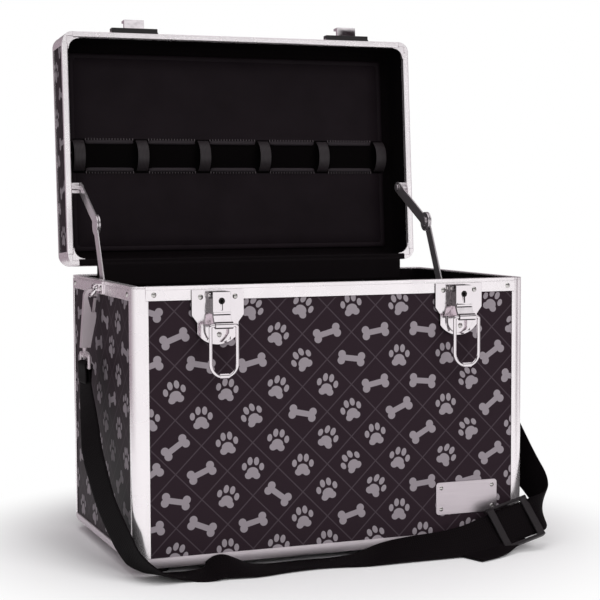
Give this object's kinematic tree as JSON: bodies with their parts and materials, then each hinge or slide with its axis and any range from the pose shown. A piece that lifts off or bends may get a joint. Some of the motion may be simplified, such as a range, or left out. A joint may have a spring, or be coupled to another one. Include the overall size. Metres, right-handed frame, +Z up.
{
  "type": "grooming case",
  "caption": "Aluminium-edged grooming case with laminated panels, an open lid on folding stays, draw latches with locks, tool loops and a webbing shoulder strap",
  "frame": {"origin": "on the floor in the middle between the four feet", "axes": "+Z up, -Y out of the front with the latches, +X to the right as seen from the front"},
  "size_m": [0.4216, 0.344, 0.4886],
  "materials": {
    "laminate": "satin",
    "aluminium": "satin",
    "chrome": "polished",
    "steel": "satin",
    "lining": "matte",
    "elastic": "matte",
    "webbing": "matte",
    "rubber": "matte",
    "grip": "matte"
  },
  "bodies": {
    "case": {"front_panel": "laminate", "rear_panel": "laminate", "left_panel": "laminate", "right_panel": "laminate", "bottom_panel": "laminate", "body_lining": "lining", "corner_posts": "aluminium", "bottom_rails": "aluminium", "bottom_corners": "aluminium", "rim_bands": "aluminium", "rim_corner_caps": "aluminium", "case_rivets": "steel", "rubber_feet": "rubber", "foot_screws": "steel", "name_plate": "aluminium", "name_plate_rivets": "steel", "hinge_body_leaves": "chrome", "pivot_pins": "steel", "hinge_flap": "lining", "strap_anchor_plates": "chrome", "strap_rings": "chrome", "stay_body_studs": "chrome", "latch_left_plate": "chrome", "latch_right_plate": "chrome", "left_snap_hook": "chrome", "right_snap_hook": "chrome", "strap_webbing": "webbing", "strap_slider": "grip"},
    "lid": {"lid_top_panel": "laminate", "lid_front_wall": "laminate", "lid_rear_wall": "laminate", "lid_left_wall": "laminate", "lid_right_wall": "laminate", "lid_lining": "lining", "lid_inner_board": "lining", "lid_rim_rails": "aluminium", "lid_top_rails": "aluminium", "lid_corner_posts": "aluminium", "lid_top_corners": "aluminium", "lid_gussets": "aluminium", "lid_catches": "chrome", "lid_rivets": "steel", "tool_strip": "lining", "tool_loops": "elastic", "hinge_lid_leaves": "chrome", "handle_brackets": "chrome", "stay_lid_studs": "chrome"},
    "handle": {"carry_handle": "grip"},
    "left_lower_link": {"stay_left_lower": "chrome"},
    "left_upper_link": {"stay_left_upper": "chrome"},
    "right_lower_link": {"stay_right_lower": "chrome"},
    "right_upper_link": {"stay_right_upper": "chrome"},
    "left_lever": {"latch_left_lever": "chrome"},
    "left_bail": {"latch_left_bail": "chrome"},
    "left_plug": {"latch_left_plug": "chrome"},
    "right_lever": {"latch_right_lever": "chrome"},
    "right_bail": {"latch_right_bail": "chrome"},
    "right_plug": {"latch_right_plug": "chrome"},
    "left_gate": {"left_hook_gate": "chrome"},
    "right_gate": {"right_hook_gate": "chrome"}
  },
  "joints": [
    {"name": "lid_hinge", "type": "hinge", "parent": "case", "child": "lid", "pos_m": [0, 0.1205, 0.243], "axis": [-1, 0, 0], "range_deg": [-94, 0]},
    {"name": "handle_fold", "type": "hinge", "parent": "lid", "child": "handle", "pos_m": [0, 0.18926, 0.35899], "axis": [1, 0, 0], "range_deg": [0, 90]},
    {"name": "left_lower_link_fold", "type": "hinge", "parent": "case", "child": "left_lower_link", "pos_m": [-0.16955, 0.034, 0.2287], "axis": [-1, 0, 0], "range_deg": [-111.2, 0]},
    {"name": "left_upper_link_fold", "type": "hinge", "parent": "lid", "child": "left_upper_link", "pos_m": [-0.16755, 0.13024, 0.32502], "axis": [-1, 0, 0], "range_deg": [0, 112.5]},
    {"name": "left_lever_hinge", "type": "hinge", "parent": "case", "child": "left_lever", "pos_m": [-0.1096, -0.1177, 0.235], "axis": [-1, 0, 0], "range_deg": [0, 75]},
    {"name": "left_bail_hinge", "type": "hinge", "parent": "left_lever", "child": "left_bail", "pos_m": [-0.1096, -0.1295, 0.2105], "axis": [1, 0, 0], "range_deg": [-180, 0]},
    {"name": "left_plug_turn", "type": "hinge", "parent": "left_lever", "child": "left_plug", "pos_m": [-0.1096, -0.1218, 0.2304], "axis": [0, 1, 0], "range_deg": [0, 90]},
    {"name": "left_gate_hinge", "type": "hinge", "parent": "case", "child": "left_gate", "pos_m": [-0.1884, 0, 0.21279], "axis": [0, -1, 0], "range_deg": [0, 15], "stiffness_Nm_per_rad": 0.05},
    {"name": "right_lower_link_fold", "type": "hinge", "parent": "case", "child": "right_lower_link", "pos_m": [0.16955, 0.034, 0.2287], "axis": [-1, 0, 0], "range_deg": [-111.2, 0]},
    {"name": "right_upper_link_fold", "type": "hinge", "parent": "lid", "child": "right_upper_link", "pos_m": [0.16755, 0.13024, 0.32502], "axis": [-1, 0, 0], "range_deg": [0, 112.5]},
    {"name": "right_lever_hinge", "type": "hinge", "parent": "case", "child": "right_lever", "pos_m": [0.1148, -0.1177, 0.235], "axis": [-1, 0, 0], "range_deg": [0, 75]},
    {"name": "right_bail_hinge", "type": "hinge", "parent": "right_lever", "child": "right_bail", "pos_m": [0.1148, -0.1295, 0.2105], "axis": [1, 0, 0], "range_deg": [-180, 0]},
    {"name": "right_plug_turn", "type": "hinge", "parent": "right_lever", "child": "right_plug", "pos_m": [0.1148, -0.1218, 0.2304], "axis": [0, 1, 0], "range_deg": [0, 90]},
    {"name": "right_gate_hinge", "type": "hinge", "parent": "case", "child": "right_gate", "pos_m": [0.1884, 0, 0.21279], "axis": [0, 1, 0], "range_deg": [0, 15], "stiffness_Nm_per_rad": 0.05}
  ],
  "couplings": [
    {"joint": "left_lower_link_fold", "follows": "lid_hinge", "ratio": 1.1821},
    {"joint": "left_upper_link_fold", "follows": "lid_hinge", "ratio": -1.1958},
    {"joint": "right_lower_link_fold", "follows": "lid_hinge", "ratio": 1.1821},
    {"joint": "right_upper_link_fold", "follows": "lid_hinge", "ratio": -1.1958}
  ]
}
